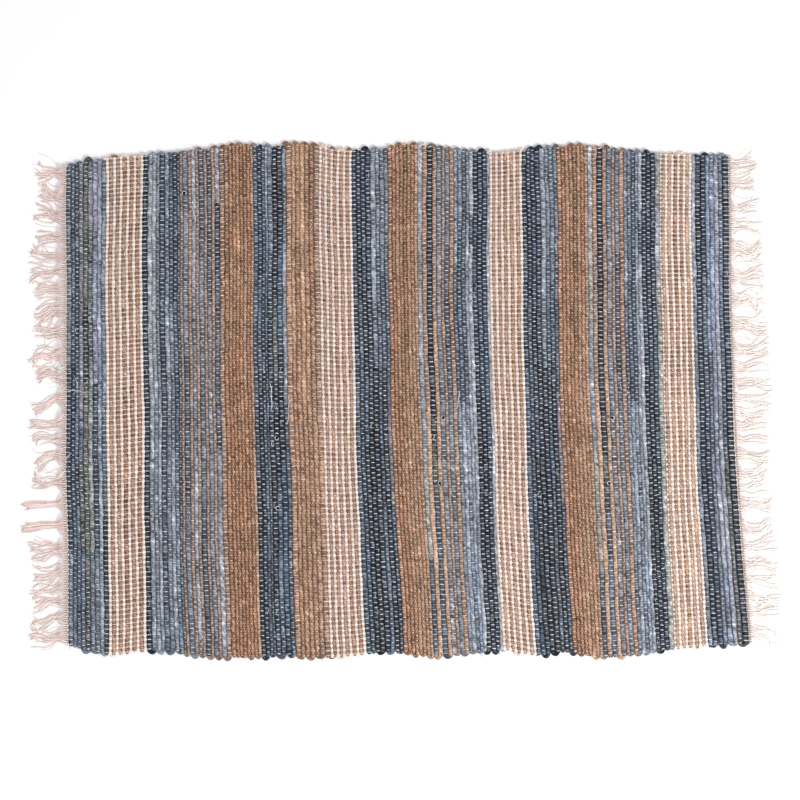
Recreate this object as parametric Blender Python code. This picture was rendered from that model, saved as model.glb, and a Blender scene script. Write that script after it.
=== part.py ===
# Flat handwoven rug of denim rag, jute yarn and cotton, with a loose cotton fringe at both
# ends. It lies flat: X runs along the warps, Y along the weft ribs, +Z is up, and the
# origin is the middle of the underside.
import math
import random
from collections import namedtuple

import bmesh
import bpy
from mathutils import Matrix

# Driving sizes, in metres
BODY_LENGTH = 0.7854        # woven cloth between the two headings, along its straight edge
BODY_LEFT = -0.4000         # where the first weft starts
BODY_HEIGHT = 0.0058        # crest of the thickest rib
EDGE_HEIGHT = 0.0030        # rib height where a weft turns round the outer warp
EDGE_ROUND = 0.0040         # how far in from the selvedge a rib reaches its full height
VALLEY_DEPTH = 0.0014       # groove between two ribs
TURN_SIZE = 0.0016          # how far a weft's turn stands out of the selvedge
TURN_CHANGE = 0.0012        # how unevenly the turns stand out
HEADING_WIDTH = 0.0055
HEADING_HEIGHT = 0.0028
PARTING = 0.0003            # clearance between the cloth and each heading
LOCK_WIDTH = 0.0030
LOCK_TIP = 0.55             # width and height of a lock's tip, as a share of its root
LOCK_SHOULDER = 0.60        # width of a lock's top, as a share of its foot
LOCK_STEP = 0.0100          # length of one section of a lock
LOCK_CLEAR = 0.0012         # least clear floor between two locks
LOCKS_IN_TASSEL = 3
REACH_CHANGE = 0.09         # how much shorter some locks of a tassel are
CURL_LENGTH = 0.038         # one wave of a lock
TASSEL_PHASE = 1.7          # where in its wave each next tassel starts, in radians
LOCK_PHASE = 2.3            # the same for each next lock of a tassel
DRIFT_POWER = 1.3           # above 1, a lock drifts most near its tip
CLOSE_ENOUGH = 1e-6

# Weft ribs across the rug. widths are the rib widths that repeat through the band, in mm,
# and height is the crest height as a share of BODY_HEIGHT.
Band = namedtuple("Band", "name ribs width_mm widths height")
BANDS = (
    Band("denim", 9, 46.4, (4.8, 5.4), 0.90),
    Band("cream_and_jute", 11, 44.0, (3.0, 4.9), 0.94),
    Band("denim", 7, 41.1, (6.2, 5.0), 0.90),
    Band("thin_denim_and_jute", 10, 49.9, (4.8, 4.9), 0.92),
    Band("jute", 9, 40.0, (4.4,), 1.00),
    Band("denim", 8, 39.3, (4.2, 5.6), 0.90),
    Band("jute", 7, 39.3, (5.6,), 1.00),
    Band("cream_and_jute", 11, 39.6, (2.9, 4.2), 0.94),
    Band("denim", 8, 41.9, (5.0, 5.6), 0.90),
    Band("jute", 8, 34.6, (4.3,), 1.00),
    Band("denim_and_jute", 9, 43.3, (5.2, 4.3), 0.95),
    Band("denim", 8, 42.8, (5.0, 5.7), 0.90),
    Band("cream_and_jute", 11, 39.3, (2.9, 4.2), 0.94),
    Band("denim", 8, 41.2, (5.0, 5.6), 0.90),
    Band("jute", 8, 35.8, (4.4,), 1.00),
    Band("denim_and_jute", 9, 43.2, (5.2, 4.3), 0.95),
    Band("denim", 9, 43.8, (4.6, 5.2), 0.90),
    Band("cream_and_jute", 10, 37.1, (4.5, 2.9), 0.94),
    Band("denim", 8, 42.8, (5.3,), 0.90),
)

# The rug's outline and lean at sections along X, in mm: where the top and bottom selvedges
# lie, and how far a weft has drifted to the right by the time it reaches the bottom.
Section = namedtuple("Section", "x top bottom lean")
SECTIONS = (
    Section(-400, 278.5, -289.5, 2.5),
    Section(-355, 287.0, -300.5, 4.0),
    Section(-300, 291.5, -295.5, 6.0),
    Section(-240, 297.5, -302.0, 8.5),
    Section(-182, 303.0, -303.5, 10.5),
    Section(-158, 300.0, -301.5, 11.5),
    Section(-120, 304.0, -304.0, 14.0),
    Section(-75, 297.0, -302.0, 16.0),
    Section(-33, 297.5, -297.0, 18.5),
    Section(12, 303.5, -301.5, 21.0),
    Section(62, 297.5, -299.0, 19.0),
    Section(100, 294.0, -295.0, 17.0),
    Section(142, 297.0, -301.0, 16.5),
    Section(176, 300.0, -297.5, 19.0),
    Section(214, 302.0, -303.5, 20.5),
    Section(266, 296.0, -299.0, 19.0),
    Section(305, 293.0, -294.0, 18.0),
    Section(353, 291.0, -289.5, 21.0),
    Section(386, 289.5, -288.5, 25.0),
)
RUG_DEPTH = (SECTIONS[0].top - SECTIONS[0].bottom) / 1000

# A weft leans little near the top and more towards the bottom: share is how much of the
# lean it has at this height, which runs from 0 at the top selvedge to 1 at the bottom.
Row = namedtuple("Row", "height share")
ROWS = (
    Row(0.00, 0.00),
    Row(0.35, 0.11),
    Row(0.62, 0.38),
    Row(0.82, 0.67),
    Row(1.00, 1.00),
)

# Tassels of warp ends, in mm: where each leaves the heading along Y, how far it reaches,
# how far it drifts along Y on the way, how wide its locks fork, and how far they curl.
Tassel = namedtuple("Tassel", "root reach drift fork curl")
Lock = namedtuple("Lock", "root reach drift curl phase")
LEFT_TASSELS = (
    Tassel(271.0, 32, 5, 13, 2.0),
    Tassel(241.6, 29, 18, 5, 2.0),
    Tassel(217.8, 33, 8, 7, 2.5),
    Tassel(192.8, 32, 4, 17, 2.0),
    Tassel(171.5, 38, 8, 3, 1.5),
    Tassel(155.0, 41, -4, 9, 2.0),
    Tassel(130.9, 33, -4, 5, 3.0),
    Tassel(108.5, 35, -8, 5, 2.5),
    Tassel(82.1, 33, 7, 6, 4.0),
    Tassel(55.6, 42, -15, 6, 3.0),
    Tassel(28.6, 33, 2, 6, 3.5),
    Tassel(3.6, 39, -21, 4, 2.0),
    Tassel(-26.8, 40, -3, 4, 1.0),
    Tassel(-45.0, 37, -6, 4, 2.0),
    Tassel(-64.9, 38, -17, 5, 2.5),
    Tassel(-97.5, 39, 10, 6, 3.0),
    Tassel(-122.6, 48, -3, 3, 0.3),
    Tassel(-147.6, 48, -4, 3, 0.3),
    Tassel(-179.7, 42, 4, 14, 2.5),
    Tassel(-202.3, 38, -8, 4, 2.0),
    Tassel(-221.3, 41, -14, 5, 2.5),
    Tassel(-239.6, 39, -10, 4, 2.5),
    Tassel(-258.5, 41, -10, 5, 2.5),
    Tassel(-281.2, 42, 1, 8, 2.0),
)
RIGHT_TASSELS = (
    Tassel(278.0, 30, 11, 5, 2.0),
    Tassel(259.4, 27, 7, 12, 2.0),
    Tassel(227.0, 32, 4, 4, 2.0),
    Tassel(207.0, 35, -2, 5, 2.0),
    Tassel(179.7, 40, 4, 5, 3.0),
    Tassel(146.4, 42, -4, 16, 2.5),
    Tassel(120.2, 40, -10, 8, 4.0),
    Tassel(90.4, 42, -6, 14, 2.5),
    Tassel(60.7, 45, 4, 5, 2.5),
    Tassel(38.5, 43, 3, 7, 2.0),
    Tassel(20.6, 42, -1, 4, 2.0),
    Tassel(3.6, 44, 3, 4, 1.5),
    Tassel(-13.7, 41, 0, 5, 2.0),
    Tassel(-31.1, 36, 5, 4, 2.5),
    Tassel(-47.4, 38, 2, 4, 1.5),
    Tassel(-63.9, 38, 0, 4, 2.0),
    Tassel(-88.1, 34, 7, 5, 2.5),
    Tassel(-105.5, 32, 8, 4, 2.0),
    Tassel(-122.8, 39, 5, 4, 2.5),
    Tassel(-153.5, 37, 12, 5, 2.5),
    Tassel(-173.4, 38, 7, 4, 2.0),
    Tassel(-194.4, 40, 2, 4, 3.0),
    Tassel(-213.8, 39, -1, 7, 2.0),
    Tassel(-233.2, 41, -6, 4, 2.5),
    Tassel(-251.1, 36, -1, 4, 2.0),
    Tassel(-272.5, 32, -10, 5, 2.5),
)


def lerp(start, end, share):
    return start + (end - start) * share


def along(table, position, column):
    """Reads one column of a table at a position in its first column."""
    for lower, upper in zip(table, table[1:]):
        if position <= upper[0]:
            break
    share = (position - lower[0]) / (upper[0] - lower[0])
    return lerp(getattr(lower, column), getattr(upper, column), share)


def place_on_rug(weft_x, height, out_top=0.0, out_bottom=0.0):
    """The point at this height, from top (0) to bottom (1), on the weft that starts at weft_x."""
    millimetres = weft_x * 1000
    top = along(SECTIONS, millimetres, "top") / 1000 + out_top
    bottom = along(SECTIONS, millimetres, "bottom") / 1000 - out_bottom
    lean = along(SECTIONS, millimetres, "lean") / 1000
    return weft_x + lean * along(ROWS, height, "share"), lerp(top, bottom, height)


def rib_stations():
    """The crests and grooves of the ribs, left to right, as (x, z, is_crest)."""
    stations = []
    x = BODY_LEFT
    for band in BANDS:
        widths = [band.widths[i % len(band.widths)] for i in range(band.ribs)]
        fit = band.width_mm / sum(widths) / 1000
        crest_z = BODY_HEIGHT * band.height
        for width in widths:
            stations.append((x, crest_z - VALLEY_DEPTH, False))
            stations.append((x + width * fit / 2, crest_z, True))
            x += width * fit
    stations.append((x, crest_z - VALLEY_DEPTH, False))
    return stations


def new_object(bm, name, material, collection):
    bmesh.ops.recalc_face_normals(bm, faces=bm.faces)
    mesh = bpy.data.meshes.new(name)
    bm.to_mesh(mesh)
    bm.free()
    mesh.materials.append(material)
    obj = bpy.data.objects.new(name, mesh)
    collection.objects.link(obj)
    return obj


def grid(bm, columns, rows):
    """A grid whose points are returned as a list of columns, each from its first row on."""
    made = bmesh.ops.create_grid(bm, x_segments=columns - 1, y_segments=rows - 1, size=1)
    ordered = sorted(made["verts"], key=lambda v: (round(v.co.x, 5), -round(v.co.y, 5)))
    return [ordered[i * rows:(i + 1) * rows] for i in range(columns)]


def woven_body(material, collection):
    """The cloth: ribs on top, flat underneath, with uneven turns along both selvedges."""
    stations = rib_stations()
    heights = [row.height for row in ROWS]
    bm = bmesh.new()
    columns = grid(bm, len(stations), len(heights) + 2)
    turns = random.Random(7)
    for column, (x, z, is_crest) in zip(columns, stations):
        out = [TURN_SIZE + turns.uniform(-1, 1) * TURN_CHANGE if is_crest else 0 for _ in (0, 1)]
        depth = EDGE_ROUND / RUG_DEPTH
        shaped = [0.0, depth] + heights[1:-1] + [1 - depth, 1.0]
        for point, height in zip(column, shaped):
            at_edge = height in (0.0, 1.0)
            px, py = place_on_rug(x, height, out[0], out[1])
            point.co = (px, py, EDGE_HEIGHT if at_edge else z)
    lifted = bmesh.ops.extrude_face_region(bm, geom=bm.faces[:])
    for item in lifted["geom"]:
        if isinstance(item, bmesh.types.BMVert):
            item.co.z = 0
    return new_object(bm, "woven_body", material, collection)


def tassel_locks(tassels):
    """One Lock for each lock of each tassel, from the top of the heading to its bottom."""
    locks = []
    for number, tassel in enumerate(tassels):
        for place in range(LOCKS_IN_TASSEL):
            side = lerp(1, -1, place / (LOCKS_IN_TASSEL - 1))
            cut_short = REACH_CHANGE * ((number + 2 * place) % 3)
            locks.append(Lock(
                root=tassel.root / 1000 + side * (LOCK_WIDTH + LOCK_CLEAR),
                reach=tassel.reach / 1000 * (1 - cut_short),
                drift=(tassel.drift + side * tassel.fork / 2) / 1000 - side * LOCK_WIDTH / 2,
                curl=tassel.curl / 1000,
                phase=number * TASSEL_PHASE + place * LOCK_PHASE,
            ))
    return sorted(locks, key=lambda lock: -lock.root)


def lock_y(lock, out):
    """Where a lock lies along Y once it is this far out from the heading."""
    share = out / lock.reach
    wave = math.sin(2 * math.pi * out / CURL_LENGTH + lock.phase) - math.sin(lock.phase)
    return lock.root + lock.drift * share ** DRIFT_POWER + lock.curl * wave * min(share, 1)


def lock_paths(tassels):
    """Each lock as a list of (out, y) in metres, root first. At every step outwards the
    locks stay in order and clear of their neighbours, so that no two of them cross."""
    locks = tassel_locks(tassels)
    longest = max(lock.reach for lock in locks)
    paths = [[] for _ in locks]
    for step in range(math.ceil(longest / LOCK_STEP) + 1):
        out = step * LOCK_STEP
        places = kept_apart([lock_y(lock, out) for lock in locks], LOCK_WIDTH + LOCK_CLEAR)
        for path, place in zip(paths, places):
            path.append((out, place))
    return [cut_to(path, lock.reach) for path, lock in zip(paths, locks)]


def kept_apart(places, least):
    """The same places, top to bottom, pushed until each is clear of the next."""
    places = list(places)
    crowded = True
    while crowded:
        crowded = False
        for i in range(len(places) - 1):
            short = least - (places[i] - places[i + 1])
            if short > CLOSE_ENOUGH:
                places[i] += short / 2
                places[i + 1] -= short / 2
                crowded = True
    return places


def cut_to(path, reach):
    """The path as far as its reach, which becomes its last point."""
    kept = [point for point in path if point[0] < reach - LOCK_STEP / 4]
    before, after = kept[-1], path[len(kept)]
    share = (reach - before[0]) / (after[0] - before[0])
    return kept + [(reach, lerp(before[1], after[1], share))]


def fringe(name, side, cloth_edge, tassels, material, collection):
    """A narrow heading beside the cloth's end, with its locks drawn out of its outer wall.
    side is -1 on the left and 1 on the right."""
    paths = lock_paths(tassels)
    half = LOCK_WIDTH / 2
    # Along Y the wall is cut at both sides of every lock and where the lean changes.
    top, bottom = (place_on_rug(cloth_edge, height)[1] for height in (0, 1))
    cuts = [top, bottom]
    for path in paths:
        cuts += [path[0][1] + half, path[0][1] - half]
    for row in ROWS[1:-1]:
        bend = place_on_rug(cloth_edge, row.height)[1]
        if all(abs(bend - path[0][1]) > half for path in paths):
            cuts.append(bend)
    cuts.sort(reverse=True)

    def wall_x(y, out):
        height = (top - y) / (top - bottom)
        return place_on_rug(cloth_edge, height)[0] + side * (PARTING + out)

    bm = bmesh.new()
    columns = grid(bm, len(cuts), 2)
    for column, y in zip(columns, cuts):
        for point, z in zip(column, (HEADING_HEIGHT, 0)):
            point.co = (wall_x(y, 0), y, z)
    inner = bm.faces[:]
    lifted = bmesh.ops.extrude_face_region(bm, geom=inner)
    outer = [item for item in lifted["geom"] if isinstance(item, bmesh.types.BMFace)]
    for item in lifted["geom"]:
        if isinstance(item, bmesh.types.BMVert):
            item.co.x = wall_x(item.co.y, HEADING_WIDTH)
    for path in paths:
        root_y = path[0][1]
        cell = min(outer, key=lambda face: abs(face.calc_center_median().y - root_y))
        outer.remove(cell)
        for reached, y in path[1:]:
            cell = bmesh.ops.extrude_discrete_faces(bm, faces=[cell])["faces"][0]
            size = lerp(1, LOCK_TIP, reached / path[-1][0])
            middle = cell.calc_center_median()
            for point in cell.verts:
                upper = point.co.z > middle.z
                way = 1 if point.co.y > middle.y else -1
                width = half * size * (LOCK_SHOULDER if upper else 1)
                point.co.y = y + way * width
                point.co.z = HEADING_HEIGHT * size if upper else 0
            for point in cell.verts:
                point.co.x = wall_x(y, HEADING_WIDTH + reached)
    return new_object(bm, name, material, collection)


def centre(objects):
    """Moves the meshes so that the middle of their common outline is at X 0, Y 0."""
    points = [vertex.co for obj in objects for vertex in obj.data.vertices]
    middle = [(min(p[i] for p in points) + max(p[i] for p in points)) / 2 for i in (0, 1)]
    for obj in objects:
        obj.data.transform(Matrix.Translation((-middle[0], -middle[1], 0)))


def material(name, colour, roughness):
    made = bpy.data.materials.new(name)
    made.use_nodes = True
    shader = made.node_tree.nodes["Principled BSDF"]
    shader.inputs["Base Color"].default_value = (*colour, 1)
    shader.inputs["Roughness"].default_value = roughness
    shader.inputs["Metallic"].default_value = 0
    made.diffuse_color = (*colour, 1)
    return made


def build():
    for obj in list(bpy.data.objects):
        bpy.data.objects.remove(obj)
    collection = bpy.data.collections.new("jute_and_denim_rug")
    bpy.context.scene.collection.children.link(collection)
    cloth = material("jute_and_denim_weave", (0.20, 0.17, 0.16), 0.9)
    cotton = material("cotton_warp", (0.72, 0.61, 0.52), 0.85)
    body = woven_body(cloth, collection)
    left = fringe("fringe_left", -1, BODY_LEFT, LEFT_TASSELS, cotton, collection)
    right_edge = BODY_LEFT + BODY_LENGTH
    right = fringe("fringe_right", 1, right_edge, RIGHT_TASSELS, cotton, collection)
    centre([body, left, right])


build()
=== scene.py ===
# Handwoven rag rug of denim, jute and cotton, lying flat and seen from straight above.
# Wefts run up and down the picture, the thin cotton warps run across it and end in a fringe.
# Sizes are in mm here and become metres where a mesh is made.
import math

import bpy
import numpy as np
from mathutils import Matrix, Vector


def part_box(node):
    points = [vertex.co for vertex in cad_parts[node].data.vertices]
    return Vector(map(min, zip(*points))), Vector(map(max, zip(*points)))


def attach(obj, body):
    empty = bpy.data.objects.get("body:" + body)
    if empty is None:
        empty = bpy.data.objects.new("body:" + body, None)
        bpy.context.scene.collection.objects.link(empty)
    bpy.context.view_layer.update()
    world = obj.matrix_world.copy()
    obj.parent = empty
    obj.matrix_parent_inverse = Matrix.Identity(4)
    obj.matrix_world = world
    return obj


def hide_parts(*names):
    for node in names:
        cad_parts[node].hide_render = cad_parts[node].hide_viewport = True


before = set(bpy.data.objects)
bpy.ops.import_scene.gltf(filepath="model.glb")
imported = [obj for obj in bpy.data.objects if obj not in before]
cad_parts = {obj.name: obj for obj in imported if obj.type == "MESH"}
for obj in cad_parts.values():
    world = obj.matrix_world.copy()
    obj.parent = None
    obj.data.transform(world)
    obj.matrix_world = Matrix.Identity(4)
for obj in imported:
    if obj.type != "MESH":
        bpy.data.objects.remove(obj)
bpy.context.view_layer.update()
print("frame loaded")

mm = 0.001
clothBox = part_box("woven_body")
chance = np.random.default_rng(41)

# The rug's outline, as the solids have it: top and bottom selvedge and lean at places along X
outline = {
    "x": [-400, -355, -300, -240, -182, -158, -120, -75, -33, 12,
          62, 100, 142, 176, 214, 266, 305, 353, 386],
    "top": [278.5, 287, 291.5, 297.5, 303, 300, 304, 297, 297.5, 303.5,
            297.5, 294, 297, 300, 302, 296, 293, 291, 289.5],
    "bottom": [-289.5, -300.5, -295.5, -302, -303.5, -301.5, -304, -302, -297, -301.5,
               -299, -295, -301, -297.5, -303.5, -299, -294, -289.5, -288.5],
    "lean": [2.5, 4, 6, 8.5, 10.5, 11.5, 14, 16, 18.5, 21, 19, 17, 16.5, 19, 20.5, 19, 18, 21, 25],
    "height": [0.0, 0.35, 0.62, 0.82, 1.0],     # share of the way from top to bottom
    "share": [0.0, 0.11, 0.38, 0.67, 1.0],      # share of the lean reached there
    "clothLeft": -400.0,
}
# The solids are centred on the whole rug, so everything moves by this much
moveX = clothBox[0][0] / mm - outline["clothLeft"]


def eased(at, places, values):
    # a smooth curve through a short table, with the slope that the neighbours give
    places = np.asarray(places, float)
    values = np.asarray(values, float)
    slopes = np.gradient(values, places)
    at = np.clip(at, places[0], places[-1])
    low = np.clip(np.searchsorted(places, at, side="right") - 1, 0, len(places) - 2)
    step = places[low + 1] - places[low]
    t = (at - places[low]) / step
    return ((1 + 2 * t) * (1 - t) ** 2 * values[low] + t * (1 - t) ** 2 * step * slopes[low]
            + t * t * (3 - 2 * t) * values[low + 1] + t * t * (t - 1) * step * slopes[low + 1])


def onCloth(startX, height):
    # startX along the straight top edge, height from 0 at the top selvedge to 1 at the bottom
    top = eased(startX, outline["x"], outline["top"])
    bottom = eased(startX, outline["x"], outline["bottom"])
    lean = eased(startX, outline["x"], outline["lean"])
    x = startX + lean * eased(height, outline["height"], outline["share"])
    return x + moveX, top + (bottom - top) * height


def fromHex(code):
    # sRGB hex to the linear values that shaders and attributes use
    parts = [int(code[i:i + 2], 16) / 255 for i in (1, 3, 5)]
    return np.array([c / 12.92 if c <= 0.04045 else ((c + 0.055) / 1.055) ** 2.4 for c in parts])


# Rag strips, jute yarns and cottons by the names that the weaving plan uses
yarnTones = {
    "denim": {
        "black": "#171a27", "ink": "#1d2636", "navy": "#1e2b3f", "deep": "#2a384b",
        "slate": "#475160", "steel": "#6d7582", "mist": "#959ba6", "pale": "#adb0ba",
        "lavender": "#8d90a6", "lilac": "#a4a5b6", "blue": "#56647a", "moss": "#5a5b54",
        "silver": "#98968f", "mauve": "#7d777e", "indigo": "#35485e", "sky": "#7d8aa4"},
    "jute": {
        "tan": "#9a745d", "rust": "#8d5f46", "brown": "#6b4d3c", "sand": "#b89379",
        "rose": "#9e7c6c", "gold": "#ad825f", "taupe": "#856c60"},
    "cotton": {
        "cream": "#ebd3c8", "white": "#f5e2d8", "headingLeft": "#e0cbbd", "headingRight": "#f4e2d6"},
}
yarns = {name: (fibre, tone) for fibre, tones in yarnTones.items() for name, tone in tones.items()}

# Each band's wefts, left to right: yarn and share of the band's width. "a>b@0.6" is a strip
# that ends there, as a share of the way down, and goes on in another.
creamBand = ("cream 3.4 rose 3.1 cream 3.6 rose>tan@0.4 3.2 cream 3.5 tan>rose@0.5 3.7 cream 3.7 "
             "tan 3.7 cream 3.7 tan>rose@0.6 3.8 white 3.4")
navyBand = ("ink>deep@0.2>slate@0.45 4.4 navy>black@0.15>slate@0.3>deep@0.5 4 "
            "navy>black@0.3>deep@0.45>black@0.6 4.4 navy>ink@0.3>black@0.5 4.6 "
            "mist>steel@0.3>black@0.42 5 steel>slate@0.2>deep@0.45>slate@0.7 3.8 "
            "steel>slate@0.25>black@0.45 4.4 steel>slate@0.2>mauve@0.5>deep@0.7 3.6")
juteBand = ("rust 3.8 rust 3.7 tan>rust@0.5 3.7 rust>tan@0.6 3.7 brown>tan@0.4 3.7 tan 3.7 "
            "rust>tan@0.3 3.7 tan 3.2")
mixedBand = ("pale>silver@0.18>mist@0.35>silver@0.6>slate@0.82 4.2 tan>taupe@0.2>sand@0.5 4 "
             "black>moss@0.6>slate@0.68 4.8 taupe>sand@0.35 3.6 steel>mauve@0.2>steel@0.4>mauve@0.6 4.6 "
             "taupe 2.8 steel>slate@0.2>steel@0.5 4.2 tan>rust@0.1>taupe@0.4>tan@0.6 3.8")
steelBand = ("steel>slate@0.3>steel@0.5 3.8 steel>slate@0.15>mist@0.5 4.2 slate>steel@0.5 3.8 "
             "steel>mist@0.2>sky@0.8 3.2 pale>slate@0.12>pale@0.2>mist@0.6>pale@0.82 4 "
             "black>navy@0.1>black@0.4 4.4 navy>deep@0.3>black@0.5 4.6 navy>deep@0.3>ink@0.6 4.4 ")
weavingPlan = [
    # the band's width in mm, its wefts
    (46.4, "slate>steel@0.12>deep@0.42>steel@0.8 4.6 slate>deep@0.4>slate@0.6 3.8 "
           "slate>deep@0.2>blue@0.4>deep@0.62>blue@0.7 3.8 mauve>blue@0.52>moss@0.62>blue@0.8 4.4 "
           "moss>ink@0.3>moss@0.45 4.8 mauve>moss@0.14>silver@0.42>steel@0.8 4.6 "
           "lavender>deep@0.45>steel@0.8 4.8 lilac>lavender@0.2>mist@0.5 4 steel>slate@0.5>ink@0.7 4.4"),
    (44.0, "white 3.4 tan 4.0 white 3.5 taupe>tan@0.3 3.8 white 3.5 rust>tan@0.2>rust@0.5 4.4 "
           "white 3.5 rust>tan@0.6 4.0 white 3.5 tan>rust@0.4 4.2 white 3.5"),
    (41.1, "black>ink@0.3>black@0.6 5 mist>pale@0.2>mist@0.5 4.6 pale>mist@0.3>steel@0.5 4 "
           "steel>mist@0.5 3.4 deep>slate@0.45 5 steel>mist@0.3>steel@0.5 4.4 "
           "slate>steel@0.3>mist@0.6 4 deep>slate@0.3>steel@0.6 4"),
    (49.9, "slate 2.6 taupe 2.8 steel>slate@0.4>steel@0.7 5.2 taupe>tan@0.15>taupe@0.5 3.2 "
           "lilac>steel@0.3>mist@0.6 4 taupe>rose@0.2>taupe@0.5 3 slate>steel@0.2>slate@0.7 5 taupe 2.8 "
           "slate>mauve@0.3>steel@0.5 4.4 tan>taupe@0.4 3 lilac>deep@0.1>slate@0.27>mist@0.6 4.8"),
    (40.0, "brown>rust@0.12>taupe@0.3 4.6 taupe>brown@0.14>rust@0.25 4.6 rust>tan@0.2>rust@0.4 3.4 "
           "rust 3.6 tan>rust@0.3 3.6 rust 3.6 rust>tan@0.2>rust@0.5 3.6 rust 3.6 tan>sand@0.6 3"),
    (39.3, "slate>deep@0.5>black@0.65 4.4 navy>slate@0.25>ink@0.45>deep@0.7 4 "
           "indigo>deep@0.2>slate@0.5 3.4 pale>steel@0.12>slate@0.3 2.4 "
           "steel>slate@0.15>ink@0.3>black@0.5>ink@0.8 5 black>moss@0.3>black@0.45>slate@0.66 4.6 "
           "black>indigo@0.19>black@0.4>indigo@0.62 5.2 steel>mist@0.2>slate@0.5 4"),
    (39.3, "tan 5 sand>tan@0.4 3.6 tan 4.6 sand>tan@0.5 4.2 tan 4.6 rust>tan@0.3>rose@0.5 4.6 "
           "taupe>tan@0.5 4.8"),
    (39.6, creamBand),
    (41.9, navyBand),
    (34.6, juteBand),
    (43.3, mixedBand),
    (42.8, steelBand + "mist>pale@0.2 2.8"),
    (39.3, creamBand),
    (41.2, navyBand),
    (35.8, juteBand),
    (43.2, mixedBand),
    (43.8, steelBand + "silver>mist@0.1>silver@0.25 5.4"),
    (37.1, "white 1.8 sand 3.6 white 3.6 sand>tan@0.2>sand@0.5 3.8 white 3.5 rust>gold@0.45 4 white 3.5 "
           "tan>sand@0.5 3.5 white 3.5 sand>tan@0.3>sand@0.5 3.8 white 3.4"),
    (42.8, "mist>steel@0.3 3.8 ink 4.8 ink>slate@0.25>deep@0.5 4.6 "
           "sky>slate@0.4>steel@0.6 3.6 sky>lavender@0.35>pale@0.7>sky@0.85 4.4 "
           "lilac 4.2 steel>slate@0.3>moss@0.6 3.8 ink>navy@0.15>black@0.45 5.4"),
]

weave = {
    "warps": 211,               # thin cotton warps across the rug's width
    "spacing": (2.65, 2.8, 3.1, 2.85),      # between warps, at these shares of the way down
    "spacingAt": (0.0, 0.4, 0.74, 1.0),
    "headingPicks": 4,          # thin cotton wefts in each heading
    "headingWidth": 3.4,
    "parting": 0.3,             # clearance between the cloth and each heading
    "centreZ": 2.42,            # height of the cloth's middle above the floor
    "pinch": 0.42,              # a warp presses a weft in by this much
    "swell": 0.22,              # and it swells between warps by this much
    "wander": 0.9,              # how far wefts stray from straight
    "crumple": 0.08,            # how unevenly wide a rag strip is
    "crumpleWaves": 3,          # in so many waves, each with this range of turns
    "crumpleTurns": (4, 26),
    "thickest": 0.62,           # half a weft's thickness is at most this share of its width
    "lumpEvery": 3,             # warps from one lump to the next
    "patchEvery": (11, 3),      # and from one worn patch to the next, long and short ones
    "shortPatches": 0.6,        # how strong the short ones are beside the long
    "interlock": 0.52,          # a pressed weft gives this much room to each neighbour's swell
    "lap": 0.014,               # where one strip laps over the next, as a share of the height
}
# How each fibre's wefts lie and take the light. groove and pressed are painted shade, how bright a weft is
# between two wefts and under a warp; crest is a painted highlight where it stands proud, and there it is
# mixed towards its pale crest colour, partly real wear and partly painted highlight.
fibres = {
    "denim": {"half": 1.75, "lumps": 0.16, "slow": 0.22, "salt": 0.48, "groove": 0.62, "pressed": 0.66,
              "crest": 0.94, "wornHighlight": "#a6adb6", "wearHighlight": 0.10},
    "jute": {"half": 1.90, "lumps": 0.16, "slow": 0.16, "salt": 0.34, "groove": 0.74, "pressed": 0.70,
             "crest": 0.90, "wornHighlight": "#e2c0a8", "wearHighlight": 0.22},
    "cotton": {"half": 1.80, "lumps": 0.14, "slow": 0.04, "salt": 0.09, "groove": 0.84, "pressed": 0.74,
               "crest": 0.98, "wornHighlight": "#fff4ec", "wearHighlight": 0.40},
}
# One section through a weft: across as a share of half the width, up as a share of half
# the thickness. It starts at the left and runs over the top.
sectionAcross = np.array([-1.0, -0.58, 0.58, 1.0, 0.60, -0.60])
sectionUp = np.array([0.52, 1.0, 1.0, 0.52, -1.0, -1.0])
sectionGirth = np.array([-1.6, -0.6, 0.6, 1.6, 2.6, -2.6])      # its yarn map, round the weft


def readPlan():
    wefts = []
    x = outline["clothLeft"]
    for width, text in weavingPlan:
        words = text.split()
        shares = [float(word) for word in words[1::2]]
        for strips, share in zip(words[0::2], shares):
            step = width * share / sum(shares)
            pieces = [part.split("@") for part in strips.split(">")]
            changes = [(part[0], float(part[1]) if len(part) > 1 else 0.0) for part in pieces]
            wefts.append({"left": x, "right": x + step, "changes": changes})
            x += step
    return wefts


def headingWefts(left, right, yarn):
    # thin cotton picks that lock the last warps' end
    edges = np.linspace(left, right, weave["headingPicks"] + 1)
    return [{"left": a, "right": b, "changes": [(yarn, 0.0)]} for a, b in zip(edges, edges[1:])]


# Slow waves of the whole cloth: strength, mm for one radian along X, radians down, start
wanderWaves = [(0.55, 31, 9.0, 0.0), (0.45, 57, -14.0, 1.3), (0.35, 17, 23.0, 0.6)]


def wanderAt(x, height):
    # neighbouring wefts stray together, so this reads one smooth field
    return sum(strength * np.sin(x / length + height * turns + start)
               for strength, length, turns, start in wanderWaves)


clothWefts = readPlan()
clothRight = clothWefts[-1]["right"]
outerLeft = outline["clothLeft"] - weave["parting"] - weave["headingWidth"]
outerRight = clothRight + weave["parting"] + weave["headingWidth"]
allWefts = (headingWefts(outerLeft, outline["clothLeft"] - weave["parting"], "headingLeft")
            + clothWefts
            + headingWefts(clothRight + weave["parting"], outerRight, "headingRight"))
weftCount = len(allWefts)
picks = weave["headingPicks"]
warpCount = weave["warps"]
# The warps lie closer together near the top
wayDown = np.linspace(0, 1, 400)
passed = np.cumsum(1 / eased(wayDown, weave["spacingAt"], weave["spacing"]))
warpHeights = np.interp((np.arange(warpCount) + 0.5) / warpCount, passed / passed[-1], wayDown)
print("plan read:", len(clothWefts), "wefts")


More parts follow.
